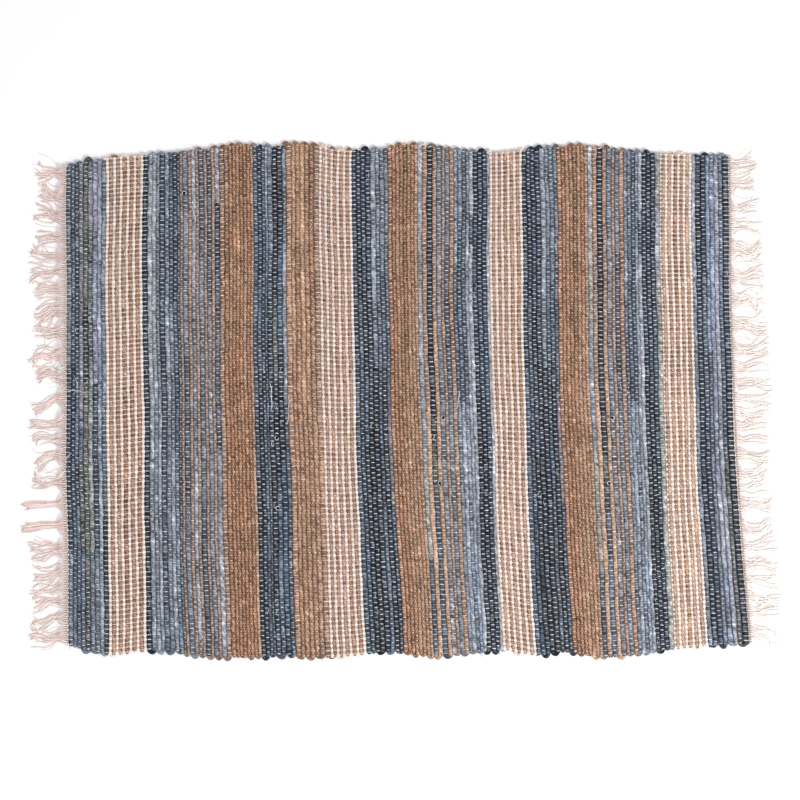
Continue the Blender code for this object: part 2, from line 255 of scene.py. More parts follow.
def edgesOf(wefts):
    # the lines between neighbouring wefts, at every warp, along the straight top edge
    marks = np.array([w["left"] for w in wefts] + [wefts[-1]["right"]])
    widths = np.diff(marks)
    x = marks[:, None] + weave["wander"] * wanderAt(marks[:, None], warpHeights[None, :])
    room = np.minimum(np.append(widths, widths[-1]), np.insert(widths, 0, widths[0]))
    for _ in range(weave["crumpleWaves"]):
        turns = chance.uniform(*weave["crumpleTurns"], len(marks))[:, None]
        phase = chance.uniform(0, 2 * math.pi, len(marks))[:, None]
        own = np.sin(2 * math.pi * turns * warpHeights[None, :] + phase)
        x += room[:, None] * weave["crumple"] / 2 * own
    parity = (np.arange(len(marks))[:, None] + np.arange(warpCount)[None, :]) % 2
    return x + weave["interlock"] * (1 - 2 * parity)


def smoothNoise(rows, columns, spacing):
    # seeded values every few warps, joined smoothly
    knots = max(3, int(columns / spacing) + 2)
    values = chance.standard_normal((rows, knots))
    at = np.linspace(0, knots - 1.001, columns)
    low = at.astype(int)
    blend = at - low
    blend = blend * blend * (3 - 2 * blend)
    return values[:, low] * (1 - blend) + values[:, low + 1] * blend


def weftColours(wefts):
    # the colour of every weft at every warp, changing where a strip ends
    tint = np.zeros((len(wefts), warpCount, 3))
    for i, weft in enumerate(wefts):
        for name, start in weft["changes"]:
            begin = start + chance.uniform(-weave["lap"], weave["lap"]) * (start > 0)
            tint[i, warpHeights >= begin] = fromHex(yarns[name][1])
    return tint


fibreOf = np.array([yarns[w["changes"][0][0]][0] for w in allWefts])


def perWeft(key):
    return np.array([fibres[f][key] for f in fibreOf])[:, None]


edges = edgesOf(allWefts)
weftX = (edges[:-1] + edges[1:]) / 2
weftWidth = np.diff(edges, axis=0)
weftHalf = np.minimum(perWeft("half") * np.ones_like(weftX), weftWidth * weave["thickest"])
weftLumps = perWeft("lumps") * smoothNoise(weftCount, warpCount, weave["lumpEvery"])
# A warp passes over every second weft, and over the others on the next warp
warpOver = (np.arange(weftCount)[:, None] + np.arange(warpCount)[None, :]) % 2 == 0
# Three readings of each weft's colour, so that a strip's end laps over the next one
longPatches, shortPatches = (smoothNoise(weftCount, warpCount, every) for every in weave["patchEvery"])
patches = np.exp(perWeft("slow") * (longPatches + weave["shortPatches"] * shortPatches))
laps = [weftColours(allWefts) * patches[:, :, None] for _ in range(3)]
lapOfSide = [0, 1, 2, 2, 1, 0]
yarnBrightness = (0.002, 0.95)      # darkest and brightest that a yarn can be


def addObject(name, data):
    obj = bpy.data.objects.new(name, data)
    bpy.context.scene.collection.objects.link(obj)
    return obj


def newMesh(name, points, quads, colour, uv, slots, slotOf):
    # joined quads from arrays, with a colour for every point and a yarn map for every corner
    points, colour, uv = points.reshape(-1, 3), colour.reshape(-1, 3), uv.reshape(-1, 2)
    mesh = bpy.data.meshes.new(name)
    mesh.vertices.add(len(points))
    mesh.vertices.foreach_set("co", (points * mm).astype(np.float32).ravel())
    mesh.loops.add(quads.size)
    mesh.loops.foreach_set("vertex_index", quads.astype(np.int32).ravel())
    mesh.polygons.add(len(quads))
    mesh.polygons.foreach_set("loop_start", np.arange(0, quads.size, 4, dtype=np.int32))
    for material in slots:
        mesh.materials.append(material)
    mesh.polygons.foreach_set("material_index", slotOf.astype(np.int32))
    mesh.update()
    tint = mesh.attributes.new("yarnColour", "FLOAT_COLOR", "POINT")
    rgba = np.ones((len(points), 4), np.float32)
    rgba[:, :3] = np.clip(colour, *yarnBrightness)
    tint.data.foreach_set("color", rgba.ravel())
    layer = mesh.uv_layers.new(name="yarnMap")
    layer.data.foreach_set("uv", uv[quads.ravel()].astype(np.float32).ravel())
    mesh.polygons.foreach_set("use_smooth", np.ones(len(quads), bool))
    mesh.validate()
    obj = addObject(name, mesh)
    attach(obj, "root")
    print(name, len(quads) * 2, "triangles")
    return obj


def tubeQuads(tubes, rings, sides):
    # closed tubes whose points are ordered tube, ring, side, with both ends capped
    tube, ring, side = np.meshgrid(np.arange(tubes), np.arange(rings - 1), np.arange(sides), indexing="ij")
    start = (tube * rings + ring) * sides
    following = (side + 1) % sides
    walls = np.stack([start + side, start + side + sides,
                      start + following + sides, start + following], axis=-1).reshape(-1, 4)
    begin = np.arange(tubes) * rings * sides
    finish = begin + (rings - 1) * sides
    caps = []
    for k in range(1, sides - 2, 2):
        caps.append(np.stack([begin, begin + k, begin + k + 1, begin + k + 2], axis=-1))
        caps.append(np.stack([finish + k + 2, finish + k + 1, finish + k, finish], axis=-1))
    return np.concatenate([walls] + caps)


weftLook = {
    "ends": (-0.0026, -0.0015),     # two more rings round each end off, past the outer warp
    "endSize": (0.45, 0.85),
    "pressedWearHighlight": 0.25,            # wear and painted highlight under a warp, against that on a crest
    "unevenWearHighlight": (0.2, 1.8),
    "mapShift": (7.3, 13.7),        # mm, so that each weft reads its own stretch of the patterns
    "mapRepeat": 97,
}


def buildWefts(name, low, high, materials):
    # every weft of a stretch as a closed, crumpled tube, pinched by the warps
    count = high - low
    some = slice(low, high)
    half = weftHalf[some]
    over = warpOver[some]
    topUp = half + np.where(over, -weave["pinch"], weave["swell"]) + weftLumps[some]
    bottomDown = half + np.where(over, weave["swell"], -weave["pinch"])
    pressedTop = np.where(over, perWeft("pressed")[some], perWeft("crest")[some])
    pressedUnder = np.where(over, perWeft("crest")[some], perWeft("pressed")[some])
    ends, endSize = np.array(weftLook["ends"]), weftLook["endSize"]
    heights = np.concatenate([ends, warpHeights, 1 - ends[::-1]])
    shrink = np.concatenate([endSize, np.ones(warpCount), endSize[::-1]])

    def padded(a):
        return np.concatenate([a[:, :1], a[:, :1], a, a[:, -1:], a[:, -1:]], axis=1)

    x, width, topUp, bottomDown = (padded(a) for a in (weftX[some], weftWidth[some], topUp, bottomDown))
    across = sectionAcross * (width * 0.5 * shrink)[:, :, None]
    up = np.where(sectionUp > 0, sectionUp * (topUp * shrink)[:, :, None],
                  sectionUp * (bottomDown * shrink)[:, :, None])
    px, py = onCloth(x, heights[None, :])
    points = np.empty((count, len(heights), 6, 3))
    points[..., 0] = px[:, :, None] + across
    points[..., 1] = py[:, :, None]
    points[..., 2] = weave["centreZ"] + up
    wornHighlight = np.array([fromHex(fibres[f]["wornHighlight"]) for f in fibreOf[some]])[:, None, :]
    sides = []
    for side in range(6):
        tint = laps[lapOfSide[side]][some]
        salt = np.exp(perWeft("salt")[some] * chance.standard_normal((count, warpCount)))
        # painted shade in the grooves between wefts and under the warps, painted highlight on the crests
        if abs(sectionAcross[side]) == 1:
            proud = np.zeros_like(salt)
            light = perWeft("groove")[some]
        else:
            proud = np.where(over == (sectionUp[side] == 1), weftLook["pressedWearHighlight"], 1.0)
            light = pressedTop if sectionUp[side] == 1 else pressedUnder
        uneven = chance.uniform(*weftLook["unevenWearHighlight"], (count, warpCount))
        # crests are mixed towards a paler colour: partly real wear, partly painted highlight
        wearHighlight = (perWeft("wearHighlight")[some] * proud * uneven)[:, :, None]
        sides.append(padded((tint * (1 - wearHighlight) + wornHighlight * wearHighlight) * (salt * light)[:, :, None]))
    colour = np.stack(sides, axis=2)
    uv = np.empty((count, len(heights), 6, 2))
    shiftAcross, shiftAlong = weftLook["mapShift"]
    number = np.arange(low, high)[:, None, None]
    uv[..., 0] = sectionGirth + number * shiftAcross
    uv[..., 1] = -py[:, :, None] + number * shiftAlong % weftLook["mapRepeat"]
    quads = tubeQuads(count, len(heights), 6)
    kinds = list(fibres)
    slotOf = np.array([kinds.index(f) for f in fibreOf[some]])[quads[:, 0] // (len(heights) * 6)]
    obj = newMesh(name, points, quads, colour, uv, materials, slotOf)
    flat = ((x[-1].mean() + width[-1].mean() / 2 - x[0].mean() + width[0].mean() / 2) * mm,
            float((py[:, 2] - py[:, -3]).mean()) * mm)
    return obj, flat


# How a warp's short stitch looks over each kind of weft: its colour, half its width, and how
# much of the weft it crosses before the next wefts cover it. The same cotton warp is a darker tan over
# cotton wefts: painted shade between their beads.
stitchLook = {
    "denim": ("#dce4eb", 0.68, 0.86), "jute": ("#e8cdbf", 0.86, 1.0), "plainJute": ("#e6c7a8", 0.74, 0.74),
    "cotton": ("#dcc0ad", 0.66, 0.90), "heading": ("#f8ebe2", 0.60, 1.0),
}
# A stitch's cross-sections as shares of the weft's width, how far each dips, the lanes across
# it, and how high each lane lies in mm
stitchForm = {
    "over": ((-0.60, -0.34, 0.34, 0.60), (-0.8, 0.0, 0.0, -0.8), (-1.0, 0.0, 1.0), (-0.45, 0.36, -0.45)),
    "under": ((-0.56, 0.0, 0.56), (-0.9, 0.0, -0.9), (-1.0, 1.0), (0.2, 0.2)),
}
stitchSpread = {
    "thickness": 0.14,
    "slant": 0.08,
    "juteSlant": 0.16,          # coarse jute turns the stitches over it
    "proud": (0.34, 0.06),      # mm above the pressed weft, and its spread
    "tipFrom": 0.5,             # past this share of the weft's width it narrows to tipSize
    "tipSize": 0.6,
    "sunken": 0.32,             # warps sink into soft strips, here and there
    "sunkenEvery": 9,
    "softness": (1.8, 0.09),    # pale strips are soft: how much, and the brightness where it starts
    "mostSunken": 0.6,
    "fibres": (0.08, 0.10),     # share of the weft's own fibres over a stitch, and its spread
    "mostFibres": 0.85,
    "tone": 0.10,
    "mapAcross": 0.6,
    "mapShift": 3.1,
}
sunken = stitchSpread["sunken"] * smoothNoise(weftCount, warpCount, stitchSpread["sunkenEvery"])
besideJute = np.array([0 < i < weftCount - 1 and set(fibreOf[i - 1:i + 2]) == {"jute"}
                       for i in range(weftCount)])
inHeading = (np.arange(weftCount) < picks) | (np.arange(weftCount) >= weftCount - picks)
stitchKind = np.where(besideJute, "plainJute", np.where(inHeading, "heading", fibreOf))


def buildStitches(name, low, high, material, under):
    # a warp shows as a short stitch over every second weft, from groove to groove
    spread = stitchSpread
    weft, warp = np.nonzero(warpOver[low:high] != under)
    weft += low
    amount = len(weft)
    width, half = weftWidth[weft, warp], weftHalf[weft, warp] - weave["pinch"]
    kinds = stitchKind[weft]
    thread = np.array([stitchLook[k][1] for k in kinds])
    thread = thread * (1 + spread["thickness"] * chance.standard_normal(amount))
    width = width * np.array([stitchLook[k][2] for k in kinds])
    slant = spread["slant"] * chance.standard_normal(amount) + spread["juteSlant"] * (kinds == "jute")
    px, py = onCloth(weftX[weft, warp], warpHeights[warp])
    stations, dip, lanes, crown = (np.array(row) for row in stitchForm["under" if under else "over"])
    rows, columns = len(stations), len(lanes)
    ride = half + spread["proud"][0] + spread["proud"][1] * chance.standard_normal(amount)
    if not under:
        ride += weftLumps[weft, warp]
    up = ride[:, None, None] * (1 + dip[None, :, None]) + crown[None, None, :]
    points = np.empty((amount, rows, columns, 3))
    points[..., 0] = px[:, None, None] + stations[None, :, None] * width[:, None, None]
    taper = np.where(np.abs(stations) > spread["tipFrom"], spread["tipSize"], 1.0)
    points[..., 1] = (py[:, None, None] + lanes[None, None, :] * (thread[:, None] * taper)[:, :, None]
                      + stations[None, :, None] * slant[:, None, None] * width[:, None, None])
    points[..., 2] = np.maximum(weave["centreZ"] + (-up if under else up), 0.0)
    s, row, column = np.meshgrid(np.arange(amount), np.arange(rows - 1), np.arange(columns - 1),
                                 indexing="ij")
    start = (s * rows + row) * columns + column
    order = [start, start + columns, start + columns + 1, start + 1]
    quads = np.stack(order[::-1] if under else order, axis=-1).reshape(-1, 4)
    cotton = np.array([fromHex(stitchLook[k][0]) for k in kinds])
    softness = spread["softness"][0] * (laps[1][weft, warp].mean(axis=1) - spread["softness"][1])
    share = spread["fibres"][0] + spread["fibres"][1] * chance.standard_normal(amount)
    share += (fibreOf[weft] == "denim") * np.clip(sunken[weft, warp] + softness, 0, spread["mostSunken"])
    share = np.clip(share, 0.0, spread["mostFibres"])[:, None]
    tint = cotton * (1 - share) + laps[1][weft, warp] * share
    tint = tint * np.exp(spread["tone"] * chance.standard_normal((amount, 1)))
    tint = np.repeat(tint, rows * columns, axis=0)
    uv = np.empty((amount, rows, columns, 2))
    uv[..., 0] = lanes[None, None, :] * spread["mapAcross"] + (warp * spread["mapShift"])[:, None, None]
    uv[..., 1] = px[:, None, None] + stations[None, :, None] * width[:, None, None]
    return newMesh(name, points, quads, tint, uv, [material], np.zeros(len(quads)))


# mm by which each thread's patterns are shifted, and where the shift along it starts again
threadMap = {"across": 5.3, "along": 11.9, "repeat": 83}


def buildThreads(name, paths, across, up, sides, colour, materials, slots=0):
    # closed tubes round many paths that have the same number of points
    count, rings = paths.shape[:2]
    way = np.gradient(paths, axis=1)
    way /= np.linalg.norm(way, axis=2, keepdims=True) + 1e-9
    sideways = np.cross(way, (0, 0, 1))
    sideways /= np.linalg.norm(sideways, axis=2, keepdims=True) + 1e-9
    upward = np.cross(sideways, way)
    turn = 2 * math.pi * np.arange(sides) / sides
    points = (paths[:, :, None, :]
              + (across[:, :, None] * np.cos(turn))[..., None] * sideways[:, :, None, :]
              + (up[:, :, None] * np.sin(turn))[..., None] * upward[:, :, None, :])
    length = np.cumsum(np.linalg.norm(np.diff(paths, axis=1, prepend=paths[:, :1]), axis=2), axis=1)
    uv = np.empty((count, rings, sides, 2))
    number = np.arange(count)[:, None, None]
    uv[..., 0] = (turn / math.pi - 1) * across.mean() + number * threadMap["across"]
    uv[..., 1] = length[:, :, None] + number * threadMap["along"] % threadMap["repeat"]
    quads = tubeQuads(count, rings, sides)
    tint = np.broadcast_to(colour, (count, rings, sides, 3))
    owner = quads[:, 0] // (rings * sides)
    return newMesh(name, points, quads, tint, uv, materials, np.broadcast_to(slots, count)[owner])


# Where a weft turns round the outer warp and goes back as its neighbour
turnLook = {
    "inset": 2.0,               # the turn starts this far inside the selvedge
    "reach": (1.5, 6.2),        # how far its middle stands out from there
    "rings": 9,
    "sides": 8,
    "missing": 0.10,            # share of the turns that are pulled in out of sight
    "height": 1.65,             # half its thickness
    "offFloor": 0.05,           # and its least clearance above the floor
    "firstColour": 0.6,         # share that shows the first weft's colour
    "skew": (0.2, 0.35),        # pull to one side: its strength and its range
    "blunt": 0.8,               # under 1 makes a turn squarer
    "lower": 0.5,               # its ends lie this much lower than the cloth's middle
    "rise": (-0.6, 1.0),        # and its middle this much higher, as shares of that
    "fullness": (0.9, 1.2),
    "uneven": (0.10, 0.08),     # across and up
    "unevenEvery": 2,
    "mottle": 0.22,
    "cottonMottle": 0.3,        # and cotton has only this share of it
    "shadedSide": 0.42,         # painted shade: the side towards the cloth is darker
}


def turnPairs(first):
    # a weft turns into the next one, or round a thin cotton one into the next of its kind
    pairs = []
    i = first
    while i < weftCount - picks - 1:
        skips = (i + 2 < weftCount - picks and (fibreOf[i + 1] == "cotton") != (fibreOf[i] == "cotton")
                 and fibreOf[i + 2] == fibreOf[i])
        j = i + 2 if skips else i + 1
        pairs.append((i, j))
        i = j + 1
    return pairs


def buildTurns(name, first, bottom, materials):
    pairs = [p for p in turnPairs(first) if chance.random() > turnLook["missing"]]
    a, b = np.array(pairs).T
    warp = -1 if bottom else 0
    count, rings, sides = len(pairs), turnLook["rings"], turnLook["sides"]
    keep = np.where(chance.random(count) < turnLook["firstColour"], a, b)
    xa, ya = onCloth(weftX[a, warp], 1.0 if bottom else 0.0)
    xb, yb = onCloth(weftX[b, warp], 1.0 if bottom else 0.0)
    out = -1.0 if bottom else 1.0
    reach = chance.uniform(*turnLook["reach"], count)
    swing = np.linspace(math.pi, 0, rings) if bottom else np.linspace(0, math.pi, rings)
    pull, most = turnLook["skew"]
    skew = chance.uniform(-most, most, count)
    t = (1 - np.cos(swing)) / 2
    paths = np.empty((count, rings, 3))
    paths[..., 0] = xa[:, None] + (xb - xa)[:, None] * (t + pull * skew[:, None] * np.sin(swing))
    paths[..., 1] = (ya[:, None] + (yb - ya)[:, None] * t
                     + out * (reach[:, None] * np.sin(swing) ** turnLook["blunt"] - turnLook["inset"]))
    lower, every = turnLook["lower"], turnLook["unevenEvery"]
    rise = chance.uniform(*turnLook["rise"], (count, 1))
    paths[..., 2] = weave["centreZ"] - lower + lower * np.sin(swing) * rise
    fullness = chance.uniform(*turnLook["fullness"], count)
    width = 0.5 * (weftWidth[a, warp] + weftWidth[b, warp]) / 2 * fullness
    across = width[:, None] * (1 + turnLook["uneven"][0] * smoothNoise(count, rings, every))
    high = turnLook["height"] * (1 + turnLook["uneven"][1] * smoothNoise(count, rings, every))
    high = np.minimum(high, paths[..., 2] - turnLook["offFloor"])
    base = laps[1][keep, warp]
    mottle = np.exp(turnLook["mottle"] * chance.standard_normal((count, rings, sides))
                    * np.where(fibreOf[keep] == "cotton", turnLook["cottonMottle"], 1.0)[:, None, None])
    # painted shade on each turn's side towards the cloth
    lit = 1 - turnLook["shadedSide"] * np.clip(np.cos(2 * math.pi * np.arange(sides) / sides), 0, 1)
    colour = base[:, None, None, :] * (mottle * lit)[..., None]
    kinds = list(fibres)
    return buildThreads(name, paths, across, high, sides, colour, materials,
                        np.array([kinds.index(f) for f in fibreOf[keep]]))


# Tassels of warp ends, as the solids have them: where each leaves the heading along Y, how
# far it reaches, how far it drifts along Y on the way, how wide it forks, how far it curls
tasselsLeft = [
    (271.0, 32, 5, 13, 2.0), (241.6, 29, 18, 5, 2.0), (217.8, 33, 8, 7, 2.5), (192.8, 32, 4, 17, 2.0),
    (171.5, 38, 8, 3, 1.5), (155.0, 41, -4, 9, 2.0), (130.9, 33, -4, 5, 3.0), (108.5, 35, -8, 5, 2.5),
    (82.1, 33, 7, 6, 4.0), (55.6, 42, -15, 6, 3.0), (28.6, 33, 2, 6, 3.5), (3.6, 39, -21, 4, 2.0),
    (-26.8, 40, -3, 4, 1.0), (-45.0, 37, -6, 4, 2.0), (-64.9, 38, -17, 5, 2.5), (-97.5, 39, 10, 6, 3.0),
    (-122.6, 48, -3, 3, 0.3), (-147.6, 48, -4, 3, 0.3), (-179.7, 42, 4, 14, 2.5), (-202.3, 38, -8, 4, 2.0),
    (-221.3, 41, -14, 5, 2.5), (-239.6, 39, -10, 4, 2.5), (-258.5, 41, -10, 5, 2.5),
    (-281.2, 42, 1, 8, 2.0),
]
tasselsRight = [
    (278.0, 30, 11, 5, 2.0), (259.4, 27, 7, 12, 2.0), (227.0, 32, 4, 4, 2.0), (207.0, 35, -2, 5, 2.0),
    (179.7, 40, 4, 5, 3.0), (146.4, 42, -4, 16, 2.5), (120.2, 40, -10, 8, 4.0), (90.4, 42, -6, 14, 2.5),
    (60.7, 45, 4, 5, 2.5), (38.5, 43, 3, 7, 2.0), (20.6, 42, -1, 4, 2.0), (3.6, 44, 3, 4, 1.5),
    (-13.7, 41, 0, 5, 2.0), (-31.1, 36, 5, 4, 2.5), (-47.4, 38, 2, 4, 1.5), (-63.9, 38, 0, 4, 2.0),
    (-88.1, 34, 7, 5, 2.5), (-105.5, 32, 8, 4, 2.0), (-122.8, 39, 5, 4, 2.5), (-153.5, 37, 12, 5, 2.5),
    (-173.4, 38, 7, 4, 2.0), (-194.4, 40, 2, 4, 3.0), (-213.8, 39, -1, 7, 2.0), (-233.2, 41, -6, 4, 2.5),
    (-251.1, 36, -1, 4, 2.0), (-272.5, 32, -10, 5, 2.5),
]
fringeLook = {
    "inside": 2.8,              # a warp's end runs over the heading from here
    "longer": 2.1,              # the drawn heading is this much narrower than the solid one
    "neck": 8.0,                # a tassel's ends draw together over this length
    "neckSteps": 4,
    "freeSteps": 11,
    "wave": (20.0, 44.0),       # length of one bend
    "tasselWave": 38.0,
    "tasselPhase": 1.7,
    "driftPower": 1.3,
    "tipCurl": 1.0,             # how far the tips turn, in radians
    "tipFrom": 0.65,            # past this share of the length, and then ever faster
    "tipFaster": 1.4,
    "tipStrength": 2.4,
    "mostCurl": 3,
    "straight": 0.5,            # a tassel that curls less than this has no stray ends
    "neckUneven": 0.5,
    "strayPull": 0.7,
    "phaseSpread": 0.35,
    "bend": 0.07,
    "strayBend": 0.35,
    "fall": 11,                 # an end comes down from the heading to the floor over this length
    "layers": 4,                # ends lie over one another by this height near the heading
    "layerHeight": 0.42,
    "layerFade": 26,
    "lift": 0.2,
    "liftEvery": 4,
    "settle": 5,
    "uneven": (0.82, 1.2),
    "onHeading": 1.75,          # height of the ends above the cloth's middle, on the heading
    "tone": (0.07, 0.05),       # spread between ends, and along one
    "shadeReach": 16,           # painted shade: ends are darkest at the heading, and not past this length
    "left": "#f8e0da",
    "right": "#feebe4",
}
# The warps' ends, and the finer plies that come loose from them. spread is half the gathered
# neck's width, more by fan where it curls, and stray is the share that leaves its tassel.
endKinds = {
    "ends": {"radius": 0.70, "spread": 1.6, "fan": 0.7, "stray": 0.08, "waver": 0.08,
             "reach": (0.88, 1.06), "darkest": 0.95, "every": 1},
    "plies": {"radius": 0.38, "spread": 2.4, "fan": 1.5, "stray": 0.34, "waver": 0.12,
              "reach": (0.75, 1.08), "darkest": 0.98, "every": 2},
}
# How far the ends gather into tassels at each side, against running straight out
gathered = {"left": 0.88, "right": 0.72}


def buildTassels(name, side, edgeX, tassels, tone, kind, material):
    # a thread for every warp, that joins its tassel's neck and then waves outwards
    look = fringeLook
    ownKind = endKinds[kind]
    root, reach, drift, fork, curl = np.array(tassels, float).T
    reach = reach + look["longer"]
    x0, y0 = onCloth(np.full(warpCount, edgeX), warpHeights)
    own = np.abs(y0[:, None] - root[None, :]).argmin(axis=1)
    rank = np.zeros(warpCount)
    for tassel in range(len(tassels)):
        members = np.nonzero(own == tassel)[0]
        rank[members] = np.linspace(1, -1, len(members)) if len(members) > 1 else 0
    curled = np.minimum(curl[own], look["mostCurl"])
    total = look["neckSteps"] + look["freeSteps"]
    paths = np.empty((warpCount, total + 1, 3))
    stray = (chance.random(warpCount) < ownKind["stray"]) & (curled > look["straight"])
    neckY = root[own] + rank * (ownKind["spread"] + ownKind["fan"] * curled)
    neckY += look["neckUneven"] * chance.standard_normal(warpCount) * np.minimum(curled, 1)
    neckY += stray * (y0 - root[own]) * look["strayPull"]
    neckY = y0 + (neckY - y0) * gathered[name.split("_")[1]]
    for j in range(look["neckSteps"] + 1):
        t = j / look["neckSteps"]
        gather = max(0.0, (t * (look["neck"] + look["inside"]) - look["inside"]) / look["neck"])
        paths[:, j, 0] = x0 + side * (look["neck"] * t - look["inside"] * (1 - t))
        paths[:, j, 1] = y0 + (neckY - y0) * gather * gather * (3 - 2 * gather)
    length = reach[own] * chance.uniform(*ownKind["reach"], warpCount) - look["neck"]
    stepLength = length / look["freeSteps"]
    waveLength = chance.uniform(*look["wave"], warpCount)
    phase = chance.uniform(0, 2 * math.pi, warpCount)
    tasselPhase = own * look["tasselPhase"] + look["phaseSpread"] * chance.standard_normal(warpCount)
    tip = look["tipCurl"] * chance.standard_normal(warpCount) * np.minimum(curled / 2, 1)
    bend = look["bend"] * chance.standard_normal(warpCount) * np.minimum(curled, 2)
    bend += look["strayBend"] * chance.standard_normal(warpCount) * stray
    for j in range(look["freeSteps"]):
        out = look["neck"] + stepLength * (j + 0.5)
        share = out / reach[own]
        slope = look["driftPower"] * (drift[own] + rank * fork[own] / 2) / reach[own]
        slope = slope * share ** (look["driftPower"] - 1)
        turn = 2 * math.pi / look["tasselWave"]
        slope += curl[own] * turn * np.cos(turn * out + tasselPhase)
        angle = np.arctan(slope) + bend
        angle += ownKind["waver"] * curl[own] * np.sin(2 * math.pi * out / waveLength + phase)
        angle += tip * np.clip(share - look["tipFrom"], 0, 1) ** look["tipFaster"] * look["tipStrength"]
        last = paths[:, look["neckSteps"] + j]
        paths[:, look["neckSteps"] + j + 1, 0] = last[:, 0] + side * np.cos(angle) * stepLength
        paths[:, look["neckSteps"] + j + 1, 1] = last[:, 1] + np.sin(angle) * stepLength
    away = side * (paths[..., 0] - x0[:, None])
    fall = np.clip(away / look["fall"], 0, 1)
    fall = fall * fall * (3 - 2 * fall)
    layer = (np.arange(warpCount) * 7 % look["layers"])[:, None] * look["layerHeight"]
    layer = layer * np.exp(-np.clip(away, 0, None) / look["layerFade"])
    lift = look["lift"] * np.abs(smoothNoise(warpCount, total + 1, look["liftEvery"]))
    radius = ownKind["radius"] * chance.uniform(*look["uneven"], (warpCount, 1)) * np.ones((1, total + 1))
    radius[:, -1] *= 0.5
    over = weave["centreZ"] + look["onHeading"]
    paths[..., 2] = radius + over * (1 - fall) * (1 - 0.5 * (away < -look["inside"] + 1))
    paths[..., 2] += (layer + lift) * np.clip(away / look["settle"], 0, 1)
    between, along = look["tone"]
    shade = between * chance.standard_normal((warpCount, 1))
    shade = np.exp(shade + along * smoothNoise(warpCount, total + 1, 2))
    # painted shade, darkest at the heading
    shade *= ownKind["darkest"] + (1 - ownKind["darkest"]) * np.clip(away / look["shadeReach"], 0, 1)
    colour = (fromHex(tone) * shade[..., None])[:, :, None, :]
    some = slice(None, None, ownKind["every"])
    return buildThreads(name + "_" + kind, paths[some], radius[some], radius[some], 4, colour[some],
                        [material]), paths


tipLook = {
    "leave": 0.35,              # how far a wisp turns out of its end, and bends on, in radians
    "bend": 0.3,
    "step": (1.4, 2.8),
    "sink": 0.8,                # each step lies at this share of the last height, or at the lowest
    "lowest": 0.25,
    "radius": 0.22,
    "thinning": (1, 1, 1, 0.9, 0.8, 0.4),
    "tone": 0.06,
}


def buildTips(name, paths, tone, material):
    # each end untwists, and a finer fibre leaves it near the tip
    start, before = paths[:, -4], paths[:, -5]
    heading = np.arctan2(start[:, 1] - before[:, 1], start[:, 0] - before[:, 0])
    heading += chance.uniform(-tipLook["leave"], tipLook["leave"], warpCount)
    bending = chance.uniform(-tipLook["bend"], tipLook["bend"], warpCount)
    step = chance.uniform(*tipLook["step"], warpCount)
    rings = len(tipLook["thinning"])
    wisps = np.empty((warpCount, rings, 3))
    wisps[:, 0] = start
    for j in range(rings - 1):
        wisps[:, j + 1, 0] = wisps[:, j, 0] + np.cos(heading) * step
        wisps[:, j + 1, 1] = wisps[:, j, 1] + np.sin(heading) * step
        wisps[:, j + 1, 2] = np.maximum(wisps[:, j, 2] * tipLook["sink"], tipLook["lowest"])
        heading = heading + bending
    thin = tipLook["radius"] * np.ones((warpCount, 1)) * np.array(tipLook["thinning"])
    pale = fromHex(tone) * np.exp(tipLook["tone"] * chance.standard_normal((warpCount, 1, 1, 1)))
    return buildThreads(name, wisps, thin, thin, 4, pale, [material])


frayLook = {
    # pale fibres that stand out of the torn edges
    "denim": {"count": 840, "thickness": 0.30,
              "tones": ["#c3cad3", "#9aa7b8", "#7f8da2", "#aeb6c2", "#d8d9da"]},
    "jute": {"count": 280, "thickness": 0.24, "tones": ["#dcbf9f", "#c59f78", "#e6d3bd"]},
    "atSelvedge": 90,           # and out of each kind's turns
    "length": (1.6, 0.45),      # middle and spread of the logarithm of their length in mm
    "lengths": (3, 16),
    "steps": 4,
    "aside": 0.3,               # they start this far from the weft's middle, as a share of its width
    "spread": 0.30,             # and leave its direction by this much, in radians
    "bend": 0.9,
    "arch": (0.1, 0.8),
    "uneven": (0.6, 1.3),
    "taper": [0.7, 1, 1, 0.9, 0.4],
}


def frayPaths(weft, warp, length):
    # short curved fibres that start on a weft's crest and mostly run along it, or stand out
    # at the selvedges
    look, steps, amount = frayLook, frayLook["steps"], len(weft)
    aside = chance.uniform(-look["aside"], look["aside"], amount)
    x, y = onCloth(weftX[weft, warp] + aside * weftWidth[weft, warp], warpHeights[warp])
    either = chance.choice([-1, 1], amount)
    outwards = np.where(warp == 0, 1, np.where(warp == warpCount - 1, -1, either))
    angle = outwards * math.pi / 2 + look["spread"] * chance.standard_normal(amount)
    bend = chance.uniform(-look["bend"], look["bend"], amount)
    paths = np.empty((amount, steps + 1, 3))
    paths[:, 0, 0], paths[:, 0, 1] = x, y
    for j in range(steps):
        paths[:, j + 1, 0] = paths[:, j, 0] + np.cos(angle) * length / steps
        paths[:, j + 1, 1] = paths[:, j, 1] + np.sin(angle) * length / steps
        angle = angle + bend * 3 / steps
    arch = np.sin(np.linspace(0.15, 0.9, steps + 1) * math.pi)
    crest = weave["centreZ"] + weftHalf[weft, warp] + 0.1
    paths[..., 2] = crest[:, None] + arch * chance.uniform(*look["arch"], amount)[:, None] - 0.2
    return paths


def buildFrays(name, fibre, materials):
    own, edge = frayLook[fibre], frayLook["atSelvedge"]
    count = own["count"] + edge
    weft = chance.choice(np.nonzero(fibreOf == fibre)[0], count)
    warp = chance.integers(4, warpCount - 4, count)
    warp[:edge] = chance.choice([0, warpCount - 1], edge)
    middle, spread = frayLook["length"]
    length = np.clip(np.exp(middle + spread * chance.standard_normal(count)), *frayLook["lengths"])
    paths = frayPaths(weft, warp, length)
    thick = own["thickness"] * chance.uniform(*frayLook["uneven"], (count, 1))
    thick = thick * np.array(frayLook["taper"])
    tone = np.array([fromHex(t) for t in own["tones"]])[chance.integers(0, len(own["tones"]), count)]
    return buildThreads(name, paths, thick, thick, 4, tone[:, None, None, :], materials)


